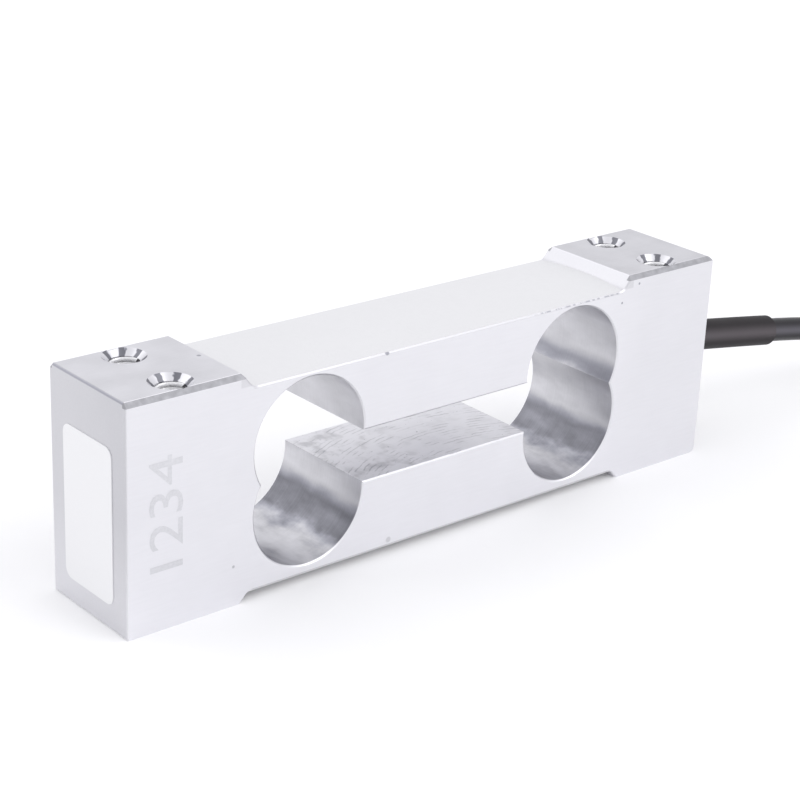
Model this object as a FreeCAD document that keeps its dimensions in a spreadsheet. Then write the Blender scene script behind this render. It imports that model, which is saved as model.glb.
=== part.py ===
"""Single point load cell: a one-piece aluminium spring element with strain gauges in two sealed
recesses, a potted cable entry and a four-core cable that is put away in a tied hank.

Frame: millimetres, +X along the block towards the cable end, +Z up. The origin is the centre of
the block's underside. The load end is at -X, the fixed end with the cable at +X.
"""
import FreeCAD, Part
import math
import os

import Sketcher

V = FreeCAD.Vector
SUPPLY_LEADS = 4  # one for each core of the cable
CROSS_LEADS = 3
LEAD_SIDES = 8  # the fine inner leads are drawn with flats
CORE_SIDES = 16  # and so are the cores in the cable's free end
PAD_MARGIN = 0.8  # bare board beyond the last pad
GRID_ACROSS = 0.7  # share of a gauge's width that its grid takes
GRID_ALONG = 0.55  # and of its length
CHIP_BARE = 0.7  # share of a resistor's length between its end caps
CORE_STRAIGHT = 6.0  # how far the cores run on straight from the jacket's cut end
CORE_SINK = 0.55  # share of the rest in which they sink to the surface
CORE_QUARTER = 1.5  # offset of each core from the cable's middle, in core radii
RIM_SLACK = 0.2  # a cut edge's centre lies this near its cut's centre
SLEEVE_TOOL = 4  # size of the sleeve's trimming tools, in cable radii
doc = FreeCAD.newDocument("load_cell")

# ----------------------------------------------------------------------------- driving dimensions
SIZES = {
    # spring element
    "block_length": 150.0,
    "block_width": 25.0,
    "block_height": 46.0,
    "land_length": 25.0,  # flat mounting land at each end
    "step_angle": 50.0,  # slope between a land and its recess floor
    "root_radius": 2.2,  # where that slope meets the floor
    "bore_cover": 3.8,  # from a land's plane to the bores beside it
    "upper_web": 0.9,  # thinnest metal over the upper bores
    "lower_web": 1.85,  # thinnest metal under the lower bores
    "bore_radius": 12.9,
    "bore_inset": 40.7,  # bore axis from the block's end
    "slot_height": 10.8,
    "land_chamfer": 1.0,
    "edge_break": 0.3,
    "end_radius": 1.4,  # rounded top and bottom edge of the cable end
    # threaded mounting holes
    "screw_radius": 3.0,
    "screw_inset": 12.7,
    "screw_spacing": 15.0,
    "tap_drill_radius": 2.5,  # drilled right through, then tapped from both lands
    "screw_depth": 14.0,
    "countersink_radius": 4.25,
    # cable entry and wiring channels
    "entry_radius": 4.2,
    "entry_depth": 19.0,
    "channel_radius": 1.6,
    "channel_inset": 5.7,  # channel mouth from the land's edge
    # bridge circuit
    "gauge_length": 9.0,
    "gauge_width": 5.0,
    "film_thickness": 0.06,
    "grid_thickness": 0.04,
    "grid_lines": 7,
    "board_length": 16.0,
    "board_width": 7.0,
    "board_thickness": 0.25,
    "pad_count": 6,
    "pad_side": 1.5,
    "pad_height": 0.1,
    "resistor_length": 3.2,
    "resistor_width": 1.6,
    "resistor_height": 0.4,
    "resistor_waist": 0.04,  # the chip's end caps stand this much above its middle
    "resistor_gap": 4.0,  # from the board's end
    "jumper_width": 0.4,
    "jumper_thickness": 0.1,
    "jumper_spacing": 2.0,
    "lead_radius": 0.15,
    "lead_spacing": 0.35,
    "lead_offset": 0.2,  # first lead from the block's middle plane in a wiring channel
    "lead_lane": 5.2,  # and where it passes a gauge
    "lead_fan": 5.0,  # how far behind a channel's mouth the leads have spread to their lanes
    "lead_lift": 0.02,  # leads lie this far above the metal
    # sealing coats in the recesses
    "coat_edge": 0.15,
    "coat_crown": 0.75,
    "wiring_clearance": 0.1,
    # label on the load end
    "label_width": 16.0,
    "label_height": 31.0,
    "label_base": 5.0,
    "label_radius": 2.0,
    "label_thickness": 0.15,
    # cable
    "cable_radius": 2.75,
    "jacket_inset": 12.0,  # cut end of the jacket inside the entry, from the block's end
    "sleeve_wall": 0.75,
    "sleeve_inset": 8.0,
    "sleeve_reach": 36.5,  # how far the sleeve stands out of the block
    "sleeve_chamfer": 0.5,
    "hank_straight": 42.0,
    "hank_lead_in": 16.0,  # strand that leads into the near fold
    "hank_fold_radius": 16.5,  # inner turns
    "hank_columns": 2,
    "hank_layers": 3,
    "hank_pinch": 3.0,
    "hank_bevel": 1.6,
    "tie_width": 4.8,
    "tie_thickness": 1.0,
    "tie_head_length": 7.0,
    "tie_head_width": 6.0,
    "tie_head_height": 4.4,
    "tie_tail": 7.0,
    "core_radius": 0.65,
    "conductor_radius": 0.4,
    "drain_radius": 0.45,
}

sheet = doc.addObject("Spreadsheet::Sheet", "sizes")
for row, (name, value) in enumerate(SIZES.items(), start=1):
    sheet.set(f"A{row}", name)
    sheet.set(f"B{row}", repr(value))
    sheet.setAlias(f"B{row}", name)
doc.recompute()


def size(name):
    """A driving dimension as the sheet holds it."""
    return float(getattr(sheet, name))


# Expressions that several features share.
HALF_LENGTH = "sizes.block_length / 2"
HALF_WIDTH = "sizes.block_width / 2"
MID_HEIGHT = "sizes.block_height / 2"
BORE_X = "sizes.block_length / 2 - sizes.bore_inset"
UPPER_DEPTH = "(sizes.bore_cover - sizes.upper_web)"
LOWER_DEPTH = "(sizes.bore_cover - sizes.lower_web)"

half_length = size("block_length") / 2
half_width = size("block_width") / 2
mid_height = size("block_height") / 2
bore_x = half_length - size("bore_inset")
recess_half = half_length - size("land_length")
upper_floor = size("block_height") - size("bore_cover") + size("upper_web")
lower_floor = size("bore_cover") - size("lower_web")

CUT_MARGIN = 2.0  # how far a cutting profile reaches past the stock
TOUCH = 1e-4  # faces and edges closer than this are the same


# --------------------------------------------------------------------------------- small helpers
def origin_plane(body, role):
    """The named origin plane of a body."""
    return next(f for f in body.Origin.OriginFeatures if f.Role == role)


def new_sketch(body, name, role, offset=None):
    """A sketch on one of the body's origin planes; offset is its distance as an expression."""
    sketch = body.newObject("Sketcher::SketchObject", name)
    sketch.AttachmentSupport = [(origin_plane(body, role), "")]
    sketch.MapMode = "FlatFace"
    if offset:
        sketch.setExpression("AttachmentOffset.Base.z", offset)
    return sketch


def name_constraint(sketch, constraint, name, expression):
    """Adds a dimension and binds it to the sheet."""
    index = sketch.addConstraint(constraint)
    sketch.renameConstraint(index, name)
    sketch.setExpression(f"Constraints.{name}", expression)
    return index


def closed_lines(sketch, corners):
    """Straight edges through the corners, joined end to end. Returns their indices."""
    edges = []
    for start, end in zip(corners, corners[1:] + corners[:1]):
        edges.append(sketch.addGeometry(Part.LineSegment(V(*start, 0), V(*end, 0)), False))
    for one, other in zip(edges, edges[1:] + edges[:1]):
        sketch.addConstraint(Sketcher.Constraint("Coincident", one, 2, other, 1))
    return edges


def centred_rectangle(sketch, width, height, low_edge=None, prefix="rect"):
    """A rectangle symmetric about the sketch's vertical axis.

    width, height and low_edge are expressions; without low_edge it is centred on the origin.
    """
    edges = closed_lines(sketch, [(-1, -1), (1, -1), (1, 1), (-1, 1)])
    for edge in edges[2:3] if low_edge else (edges[0], edges[2]):
        sketch.addConstraint(Sketcher.Constraint("Horizontal", edge))
    for edge in (edges[1], edges[3]):
        sketch.addConstraint(Sketcher.Constraint("Vertical", edge))
    name_constraint(sketch, Sketcher.Constraint("DistanceX", edges[0], 1, edges[0], 2, 2.0),
                    f"{prefix}_width", width)
    name_constraint(sketch, Sketcher.Constraint("DistanceY", edges[1], 1, edges[1], 2, 2.0),
                    f"{prefix}_height", height)
    if low_edge:
        sketch.addConstraint(Sketcher.Constraint("Symmetric", edges[0], 1, edges[0], 2, -2))
        name_constraint(sketch, Sketcher.Constraint("DistanceY", -1, 1, edges[0], 1, 1.0),
                        f"{prefix}_base", low_edge)
    else:
        sketch.addConstraint(Sketcher.Constraint("Symmetric", edges[0], 1, edges[1], 2, -1, 1))
    return edges


def placed_circle(sketch, prefix, across, along, radius):
    """A circle with its centre and radius bound to expressions."""
    start = V(1, 1, 0)
    circle = sketch.addGeometry(Part.Circle(start, V(0, 0, 1), 1.0), False)
    for axis, expression in (("DistanceX", across), ("DistanceY", along)):
        if expression == "0":
            line = -2 if axis == "DistanceX" else -1
            sketch.addConstraint(Sketcher.Constraint("PointOnObject", circle, 3, line))
        else:
            name_constraint(sketch, Sketcher.Constraint(axis, -1, 1, circle, 3, 1.0),
                            f"{prefix}_{axis[-1].lower()}", expression)
    name_constraint(sketch, Sketcher.Constraint("Radius", circle, 1.0), f"{prefix}_r", radius)
    return circle


def placed_square(sketch, prefix, across, along, side):
    """A square with its centre and side bound to expressions."""
    edges = closed_lines(sketch, [(-1, -1), (1, -1), (1, 1), (-1, 1)])
    for edge in (edges[0], edges[2]):
        sketch.addConstraint(Sketcher.Constraint("Horizontal", edge))
    for edge in (edges[1], edges[3]):
        sketch.addConstraint(Sketcher.Constraint("Vertical", edge))
    name_constraint(sketch, Sketcher.Constraint("DistanceX", edges[0], 1, edges[0], 2, 2.0),
                    f"{prefix}_width", side)
    name_constraint(sketch, Sketcher.Constraint("DistanceY", edges[1], 1, edges[1], 2, 2.0),
                    f"{prefix}_height", side)
    for axis, expression in (("DistanceX", across), ("DistanceY", along)):
        name_constraint(sketch, Sketcher.Constraint(axis, -1, 1, edges[0], 1, -1.0),
                        f"{prefix}_{axis[-1].lower()}", f"{expression} - {side} / 2")


def pad(body, sketch, name, length, midplane=False, reverse=False):
    """Pads a sketch by an expression."""
    feature = body.newObject("PartDesign::Pad", name)
    feature.Profile = sketch
    feature.setExpression("Length", length)
    feature.Midplane = midplane
    feature.Reversed = reverse
    return feature


def through_pocket(body, sketch, name):
    """Cuts a sketch right through, both ways from its plane."""
    feature = body.newObject("PartDesign::Pocket", name)
    feature.Profile = sketch
    feature.Type = 1
    feature.Midplane = True
    return feature


def edges_where(feature, test):
    """Names of the feature's edges whose shape passes the test."""
    return [f"Edge{i}" for i, edge in enumerate(feature.Shape.Edges, start=1) if test(edge)]


def dress(body, kind, name, base, edges, property_name, expression):
    """A fillet or chamfer on the named edges of the last feature."""
    feature = body.newObject(f"PartDesign::{kind}", name)
    feature.Base = (base, edges)
    feature.setExpression(property_name, expression)
    doc.recompute()
    return feature


def near(one, other, slack=TOUCH):
    """True where two numbers are the same within slack."""
    return abs(one - other) < slack


def all_points(edge, test):
    """True where both ends and the middle of the edge pass the test."""
    middle = edge.valueAt((edge.FirstParameter + edge.LastParameter) / 2)
    return all(test(p) for p in [middle] + [vertex.Point for vertex in edge.Vertexes])


def feature_of(name, shape):
    """A Part::Feature that holds a shape made with Part's own functions."""
    feature = doc.addObject("Part::Feature", name)
    feature.Label = name
    feature.Shape = shape
    return feature


NODES = []


def node(obj, name):
    """Labels an object as a finished sub-part and puts it on the export list."""
    obj.Label = name
    NODES.append((name, obj))
    return obj


# -------------------------------------------------------------------------------- spring element
def recess_profile(body, name, depth, from_top):
    """The trapezoid that is milled out of the top or the underside between the lands."""
    sketch = new_sketch(body, name, "XZ_Plane")
    top = size("block_height")
    rough = [(-60, top + 2), (-45, top - 3), (45, top - 3), (60, top + 2)]
    if not from_top:
        rough = [(x, top - z) for x, z in rough]
    edges = closed_lines(sketch, rough)
    floor_edge, mouth_edge = edges[1], edges[3]
    for edge in (floor_edge, mouth_edge):
        sketch.addConstraint(Sketcher.Constraint("Symmetric", edge, 1, edge, 2, -2))
    floor_z = f"sizes.block_height - {depth}" if from_top else depth
    mouth_z = f"sizes.block_height + {CUT_MARGIN}"
    name_constraint(sketch, Sketcher.Constraint("DistanceY", -1, 1, floor_edge, 1, 40.0),
                    "floor_z", floor_z)
    if from_top:
        name_constraint(sketch, Sketcher.Constraint("DistanceY", -1, 1, mouth_edge, 1, 48.0),
                        "mouth_z", mouth_z)
    else:
        name_constraint(sketch, Sketcher.Constraint("DistanceY", mouth_edge, 1, -1, 1, 2.0),
                        "mouth_z", str(CUT_MARGIN))
    run = "/ tan(sizes.step_angle * 1deg)"
    span = "sizes.block_length - 2 * sizes.land_length"
    name_constraint(sketch, Sketcher.Constraint("DistanceX", floor_edge, 1, floor_edge, 2, 90.0),
                    "floor_length", f"{span} - 2 * {depth} {run}")
    name_constraint(sketch, Sketcher.Constraint("DistanceX", mouth_edge, 2, mouth_edge, 1, 120.0),
                    "mouth_length", f"{span} + 2 * {CUT_MARGIN} {run}")
    return sketch


def spring_element():
    """The machined block: lands, recesses, four bores and a slot, threaded holes and channels."""
    body = doc.addObject("PartDesign::Body", "spring_element")
    outline = new_sketch(body, "block_outline", "XY_Plane")
    centred_rectangle(outline, "sizes.block_length", "sizes.block_width")
    pad(body, outline, "block", "sizes.block_height")

    through_pocket(body, recess_profile(body, "upper_recess_profile", UPPER_DEPTH, True),
                   "upper_recess")
    recess = through_pocket(
        body, recess_profile(body, "lower_recess_profile", LOWER_DEPTH, False), "lower_recess")
    doc.recompute()

    def is_root(edge):
        at = edge.CenterOfMass
        along_y = near(edge.Length, size("block_width"))
        on_floor = near(at.z, upper_floor) or near(at.z, lower_floor)
        return along_y and on_floor and abs(at.x) < half_length - TOUCH

    roots = dress(body, "Fillet", "step_roots", recess, edges_where(recess, is_root),
                  "Radius", "sizes.root_radius")

    for level, sign in (("upper", "+"), ("lower", "-")):
        sketch = new_sketch(body, f"{level}_bore_circles", "XZ_Plane")
        height = f"{MID_HEIGHT} {sign} ({MID_HEIGHT} - sizes.bore_cover - sizes.bore_radius)"
        placed_circle(sketch, "load_end", f"-({BORE_X})", height, "sizes.bore_radius")
        placed_circle(sketch, "fixed_end", BORE_X, height, "sizes.bore_radius")
        through_pocket(body, sketch, f"{level}_bores")
    sketch = new_sketch(body, "slot_profile", "XZ_Plane")
    centred_rectangle(sketch, f"2 * ({BORE_X})", "sizes.slot_height",
                      f"{MID_HEIGHT} - sizes.slot_height / 2")
    window = through_pocket(body, sketch, "slot")
    doc.recompute()

    def on_sides(edge):
        return all_points(edge, lambda p: near(abs(p.y), half_width))

    def is_land_edge(edge):
        at = edge.CenterOfMass
        return on_sides(edge) and near(at.z, size("block_height")) and abs(at.x) > recess_half

    lands = dress(body, "Chamfer", "land_chamfers", window, edges_where(window, is_land_edge),
                  "Size", "sizes.land_chamfer")

    def is_window_edge(edge):
        inside = abs(edge.CenterOfMass.x) < bore_x + size("bore_radius")
        low, high = size("bore_cover"), size("block_height") - size("bore_cover")
        return on_sides(edge) and inside and all_points(
            edge, lambda p: low - TOUCH < p.z < high + TOUCH)

    rims = dress(body, "Chamfer", "window_rims", lands, edges_where(lands, is_window_edge),
                 "Size", "sizes.edge_break")

    def is_beam_edge(edge):
        at = edge.CenterOfMass
        on_floor = near(at.z, upper_floor) or near(at.z, lower_floor)
        return on_sides(edge) and on_floor and edge.Length > recess_half

    beam = dress(body, "Chamfer", "beam_edges", rims, edges_where(rims, is_beam_edge),
                 "Size", "sizes.edge_break")

    def is_cable_end_edge(edge):
        level = near(edge.CenterOfMass.z, 0) or near(edge.CenterOfMass.z, size("block_height"))
        return level and all_points(edge, lambda p: near(p.x, half_length))

    cable_end = dress(body, "Fillet", "cable_end_rounding", beam,
                      edges_where(beam, is_cable_end_edge), "Radius", "sizes.end_radius")

    def is_load_end_edge(edge):
        return all_points(edge, lambda p: near(p.x, -half_length))

    load_end = dress(body, "Chamfer", "load_end_break", cable_end,
                     edges_where(cable_end, is_load_end_edge), "Size", "sizes.edge_break")

    pilots = new_sketch(body, "tap_drill_circles", "XY_Plane")
    screw_circles(pilots, "sizes.tap_drill_radius")
    through_pocket(body, pilots, "tap_drill_holes")
    for level, at_top in (("upper", True), ("lower", False)):
        screws = new_sketch(body, f"{level}_screw_centres", "XY_Plane",
                            "sizes.block_height" if at_top else None)
        screw_circles(screws, "sizes.screw_radius")
        doc.recompute()
        before = body.Shape.Volume
        holes = body.newObject("PartDesign::Hole", f"{level}_screw_holes")
        holes.Profile = screws
        holes.DepthType = 0
        holes.setExpression("Depth", "sizes.screw_depth")
        holes.setExpression("Diameter", "2 * sizes.screw_radius")
        holes.HoleCutType = 2
        holes.setExpression("HoleCutDiameter", "2 * sizes.countersink_radius")
        holes.HoleCutCountersinkAngle = 90.0
        holes.DrillPoint = 0
        holes.Reversed = not at_top
        doc.recompute()
        if body.Shape.Volume >= before - 1:
            raise RuntimeError(f"{level} screw holes cut nothing")

    mouth = new_sketch(body, "entry_circle", "YZ_Plane", HALF_LENGTH)
    placed_circle(mouth, "entry", "0", MID_HEIGHT, "sizes.entry_radius")
    entry = body.newObject("PartDesign::Pocket", "cable_entry")
    entry.Profile = mouth
    entry.Type = 0
    entry.setExpression("Length", "sizes.entry_depth")
    doc.recompute()

    for level, floor in (("upper", upper_floor), ("lower", lower_floor)):
        channel = new_sketch(body, f"{level}_channel_profile", "XZ_Plane")
        draw_channel(channel, floor)
        cut = body.newObject("PartDesign::Groove", f"{level}_channel")
        cut.Profile = channel
        cut.ReferenceAxis = (channel, ["Axis0"])
        cut.Angle = 360.0
        doc.recompute()
    body.Tip = cut
    doc.recompute()
    return node(body, "spring_element")


def screw_circles(sketch, radius):
    """The four screw places, a pair in each land, as circles."""
    across = f"{HALF_LENGTH} - sizes.screw_inset"
    for side, x_sign in (("load", "-"), ("fixed", "")):
        for row, y_sign in (("front", "-"), ("back", "")):
            placed_circle(sketch, f"{side}_{row}", f"{x_sign}({across})",
                          f"{y_sign}sizes.screw_spacing / 2", radius)


def channel_seat():
    """The point in the cable entry where both wiring channels start."""
    return V(half_length - size("entry_depth") + size("channel_radius"), 0, mid_height)


def channel_mouth(floor=0.0):
    """The middle of a wiring channel's mouth in a recess floor."""
    return V(recess_half - size("channel_inset"), 0, floor)


def draw_channel(sketch, floor):
    """Half section of a slanted round channel with its axis as a construction line."""
    seat, mouth = channel_seat(), channel_mouth(floor)
    end = mouth + (mouth - seat).normalize() * CUT_MARGIN
    along = end - seat
    side = V(along.z, 0, -along.x).normalize() * size("channel_radius")
    corners = [(p.x, p.z) for p in (seat, end, end + side, seat + side)]
    edges = closed_lines(sketch, corners)
    axis = sketch.addGeometry(Part.LineSegment(V(*corners[0], 0), V(*corners[1], 0)), True)
    sketch.addConstraint(Sketcher.Constraint("Coincident", axis, 1, edges[0], 1))
    sketch.addConstraint(Sketcher.Constraint("Coincident", axis, 2, edges[0], 2))
    for edge in edges:
        sketch.addConstraint(Sketcher.Constraint("Block", edge))


# ------------------------------------------------------------------------------ tubes along routes
def rounded_route(points, share=0.45):
    """Straight runs joined by tangent arcs, as one wire, and the arcs' radii.

    Each arc is as large as its two runs allow: share of the shorter run over the tangent of
    half the turn.
    """
    edges, radii, last = [], [], points[0]
    for before, corner, after in zip(points, points[1:], points[2:]):
        back, ahead = (before - corner), (after - corner)
        turn = math.pi - back.getAngle(ahead)
        reach = share * min(back.Length, ahead.Length)
        radius = reach / math.tan(turn / 2)
        start = corner + back.normalize() * reach
        end = corner + ahead.normalize() * reach
        centre_way = (back + ahead).normalize()
        middle = corner + centre_way * (radius / math.cos(turn / 2) - radius)
        edges += [Part.LineSegment(last, start).toShape(), Part.Arc(start, middle, end).toShape()]
        radii.append(radius)
        last = end
    edges.append(Part.LineSegment(last, points[-1]).toShape())
    return Part.Wire(edges), radii


def tube(points, radius):
    """A round solid swept along a rounded route."""
    path, _ = rounded_route(points)
    start = points[0]
    ring = Part.Wire([Part.makeCircle(radius, start, points[1] - start)])
    return path.makePipeShell([ring], True, False)


def folded_wire(points, radius, sides):
    """A fine many-sided wire, folded sharply at each point."""
    start, along = points[0], points[1] - points[0]
    ring = Part.makePolygon([V(radius * math.cos(math.tau * i / sides),
                               radius * math.sin(math.tau * i / sides), 0)
                             for i in range(sides + 1)])
    ring.Placement = FreeCAD.Placement(start, FreeCAD.Rotation(V(0, 0, 1), along))
    return Part.makePolygon(points).makePipeShell([ring], True, False, 1)


# ------------------------------------------------------------------------------ bridge in recess
def recess_placement(level):
    """Places a piece that is drawn lying on z = 0 onto an upper or lower recess floor."""
    if level == "upper":
        return FreeCAD.Placement(V(0, 0, upper_floor), FreeCAD.Rotation())
    return FreeCAD.Placement(V(0, 0, lower_floor), FreeCAD.Rotation(V(1, 0, 0), 180))


def strain_gauge(name, level, x_sign):
    """A foil gauge: carrier film with the loops of its grid and two solder tabs."""
    body = doc.addObject("PartDesign::Body", name)
    film = new_sketch(body, f"{name}_film_outline", "XY_Plane")
    centred_rectangle(film, "sizes.gauge_length", "sizes.gauge_width")
    pad(body, film, f"{name}_film", "sizes.film_thickness")
    line = new_sketch(body, f"{name}_grid_line", "XY_Plane", "sizes.film_thickness")
    pitch = f"(sizes.gauge_width * {GRID_ACROSS} / sizes.grid_lines)"
    centred_rectangle(line, f"sizes.gauge_length * {GRID_ALONG}", f"{pitch} / 2")
    first = pad(body, line, f"{name}_grid", "sizes.grid_thickness")
    doc.recompute()
    for side, sign in (("left", -1), ("right", 1)):
        rows = body.newObject("PartDesign::LinearPattern", f"{name}_grid_{side}")
        rows.Originals = [first]
        rows.Direction = (origin_axis(body, "Y_Axis"), [""])
        rows.Reversed = sign < 0
        rows.setExpression("Length", f"{pitch} * (sizes.grid_lines - 1) / 2")
        rows.setExpression("Occurrences", "(sizes.grid_lines + 1) / 2")
        body.Tip = rows
        doc.recompute()
    at = recess_placement(level)
    body.Placement = at.multiply(FreeCAD.Placement(V(x_sign * bore_x, 0, 0), FreeCAD.Rotation()))
    return node(body, name)


def origin_axis(body, role):
    """The named origin axis of a body."""
    return next(f for f in body.Origin.OriginFeatures if f.Role == role)


def terminal_board(name, level):
    """The solder board between the gauges: a thin plate with a row of pads along each side."""
    body = doc.addObject("PartDesign::Body", name)
    outline = new_sketch(body, f"{name}_outline", "XY_Plane")
    centred_rectangle(outline, "sizes.board_length", "sizes.board_width")
    pad(body, outline, f"{name}_plate", "sizes.board_thickness")
    dots = new_sketch(body, f"{name}_first_pads", "XY_Plane", "sizes.board_thickness")
    edge_x = f"((sizes.board_length - sizes.pad_side) / 2 - {PAD_MARGIN})"
    edge_y = f"((sizes.board_width - sizes.pad_side) / 2 - {PAD_MARGIN} / 2)"
    placed_square(dots, "front", f"-{edge_x}", f"-{edge_y}", "sizes.pad_side")
    placed_square(dots, "back", f"-{edge_x}", edge_y, "sizes.pad_side")
    first = pad(body, dots, f"{name}_pads", "sizes.pad_height")
    doc.recompute()
    row = body.newObject("PartDesign::LinearPattern", f"{name}_pad_rows")
    row.Originals = [first]
    row.Direction = (origin_axis(body, "X_Axis"), [""])
    row.setExpression("Length", f"2 * {edge_x}")
    row.setExpression("Occurrences", "sizes.pad_count")
    body.Tip = row
    body.Placement = recess_placement(level)
    doc.recompute()
    return node(body, name)


def trim_resistor(name, level, x_sign):
    """A chip resistor beside the board, its end caps standing slightly above its middle."""
    body = doc.addObject("PartDesign::Body", name)
    outline = new_sketch(body, f"{name}_outline", "XY_Plane")
    centred_rectangle(outline, "sizes.resistor_length", "sizes.resistor_width")
    pad(body, outline, f"{name}_chip", "sizes.resistor_height")
    middle = new_sketch(body, f"{name}_middle_outline", "XY_Plane", "sizes.resistor_height")
    centred_rectangle(middle, f"sizes.resistor_length * {CHIP_BARE}", "sizes.resistor_width")
    waist = body.newObject("PartDesign::Pocket", f"{name}_waist")
    waist.Profile = middle
    waist.setExpression("Length", "sizes.resistor_waist")
    doc.recompute()
    at = recess_placement(level)
    x = x_sign * (size("board_length") / 2 + size("resistor_gap") + size("resistor_length") / 2)
    body.Placement = at.multiply(FreeCAD.Placement(V(x, 0, 0), FreeCAD.Rotation()))
    return node(body, name)


def floor_level(level, rise):
    """Height of a point that lies rise above a recess floor, outwards from the metal."""
    return upper_floor + rise if level == "upper" else lower_floor - rise


def gauge_jumpers(name, level):
    """Flat ribbons from the gauges' tabs to the board's ends."""
    width, thick = size("jumper_width"), size("jumper_thickness")
    start = size("board_length") / 2
    length = bore_x - size("gauge_length") / 2 - start
    ribbons = []
    for x_sign in (-1, 1):
        for row in (-1, 1):
            y = row * size("jumper_spacing") / 2 - width / 2
            x = start if x_sign > 0 else -start - length
            ribbons.append(Part.makeBox(length, width, thick, V(x, y, 0)))
    shape = Part.makeCompound(ribbons)
    shape.Placement = recess_placement(level)
    return node(feature_of(name, shape), name)


def pad_place(index):
    """Where along the board the given pad lies, counted from the fixed end."""
    first = (size("board_length") - size("pad_side")) / 2 - PAD_MARGIN
    return first - index * 2 * first / (size("pad_count") - 1)


def lead_lanes(index):
    """How far from the middle plane a lead lies in its channel, and where it passes a gauge."""
    step = index * size("lead_spacing")
    return size("lead_offset") + step, size("lead_lane") + step


def floor_run(level, side, index):
    """A lead's points along a recess floor, from a channel's mouth to the board's edge."""
    height = floor_level(level, size("lead_radius") + size("lead_lift"))
    mouth_x, pad_x = channel_mouth().x, pad_place(index)
    y, lane = (side * place for place in lead_lanes(index))
    return [V(mouth_x, y, height), V(mouth_x - size("lead_fan"), lane, height),
            V(pad_x, lane, height), V(pad_x, side * size("board_width") / 2, height)]


def supply_leads(name):
    """The cable's inner cores, from the jacket's cut end to pads on the upper board."""
    wires = []
    for i in range(SUPPLY_LEADS):
        y = lead_lanes(i)[0]
        route = [V(CABLE_ROUTE[0].x, y, mid_height), V(channel_seat().x, y, mid_height)]
        wires.append(folded_wire(route + floor_run("upper", 1, i), size("lead_radius"), LEAD_SIDES))
    return node(feature_of(name, Part.makeCompound(wires)), name)


def cross_leads(name):
    """The leads that join the upper and lower boards through both wiring channels."""
    wires = []
    for i in range(CROSS_LEADS):
        top, bottom = floor_run("upper", -1, i), floor_run("lower", -1, i)
        turn = V(channel_seat().x, -lead_lanes(i)[0], mid_height)
        wires.append(folded_wire(top[::-1] + [turn] + bottom, size("lead_radius"), LEAD_SIDES))
    return node(feature_of(name, Part.makeCompound(wires)), name)


def wiring_cavity(level, side, count):
    """The hollow that one row of leads leaves in a sealing coat, with its straight walls."""
    gap = size("lead_radius") + size("wiring_clearance")
    (near_y, near_lane), (far_y, far_lane) = lead_lanes(0), lead_lanes(count - 1)
    mouth_x, reach = channel_mouth().x, size("channel_radius")
    turn_x, edge = mouth_x - size("lead_fan"), size("board_width") / 2
    last_x, first_x = pad_place(count - 1) - gap, pad_place(0) + gap
    outline = [(mouth_x + reach, near_y - gap), (mouth_x + reach, far_y + gap),
               (turn_x + reach, far_lane + gap), (last_x, far_lane + gap), (last_x, edge),
               (first_x, edge), (first_x, near_lane - gap), (turn_x - reach, near_lane - gap),
               (mouth_x - reach, near_y - gap)]
    height = 2 * size("lead_radius") + size("lead_lift")
    base = upper_floor if level == "upper" else lower_floor - height
    points = [V(x, side * y, base) for x, y in outline]
    return Part.Face(Part.makePolygon(points + points[:1])).extrude(V(0, 0, height))


def sealing_coat(name, level, block, covered, hollows):
    """The crowned rubber coat in a recess, cast over the gauges, the board and the leads."""
    floor = upper_floor if level == "upper" else lower_floor
    out = 1 if level == "upper" else -1
    edge_y = half_width - size("edge_break")
    low, top = floor + out * size("coat_edge"), floor + out * size("coat_crown")
    corners = [V(0, -edge_y, low), V(0, -edge_y, floor), V(0, edge_y, floor), V(0, edge_y, low)]
    edges = [Part.LineSegment(a, b).toShape() for a, b in zip(corners, corners[1:])]
    edges.append(Part.Arc(corners[3], V(0, 0, top), corners[0]).toShape())
    face = Part.Face(Part.Wire(edges))
    face.translate(V(-recess_half, 0, 0))
    blank = face.extrude(V(2 * recess_half, 0, 0))
    shape = blank.cut(block.Shape)
    for taken in [piece.Shape for piece in covered] + hollows:
        shape = shape.cut(taken)
    return node(feature_of(name, largest_solid(shape)), name)


def largest_solid(shape):
    """The biggest solid of a shape, without the crumbs a cut may leave."""
    return max(shape.Solids, key=lambda solid: solid.Volume)


# ------------------------------------------------------------------------------------ load end label
def end_label():
    """The thin sticker on the load end, with rounded corners."""
    body = doc.addObject("PartDesign::Body", "end_label")
    outline = new_sketch(body, "label_outline", "YZ_Plane", f"-{HALF_LENGTH}")
    centred_rectangle(outline, "sizes.label_width", "sizes.label_height", "sizes.label_base")
    sheet_pad = pad(body, outline, "label_sheet", "sizes.label_thickness", reverse=True)
    doc.recompute()
    corners = edges_where(sheet_pad, lambda e: near(e.Length, size("label_thickness")))
    dress(body, "Fillet", "label_corners", sheet_pad, corners, "Radius", "sizes.label_radius")
    return node(body, "end_label")


# ------------------------------------------------------------------------------------------- cable
# The cable's route from the potted jacket end to the hank: chosen by hand, so that it leaves the
# block straight, sinks to the surface under its own weight and swings to the hank's near side.
CABLE_ROUTE = [V(half_length + x, y, z) for x, y, z in (
    (-size("jacket_inset"), 0.0, mid_height),
    (3.0, 0.0, mid_height),
    (31.0, 0.0, 18.6),
    (51.0, -0.7, 15.5),
    (67.0, -3.6, 12.5),
    (81.0, -7.6, 9.2),
    (93.0, -11.3, 5.7),
    (104.0, -13.5, 3.6),
    (114.0, -14.0, 2.75),
    (122.0, -14.0, 2.75),
)]


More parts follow.
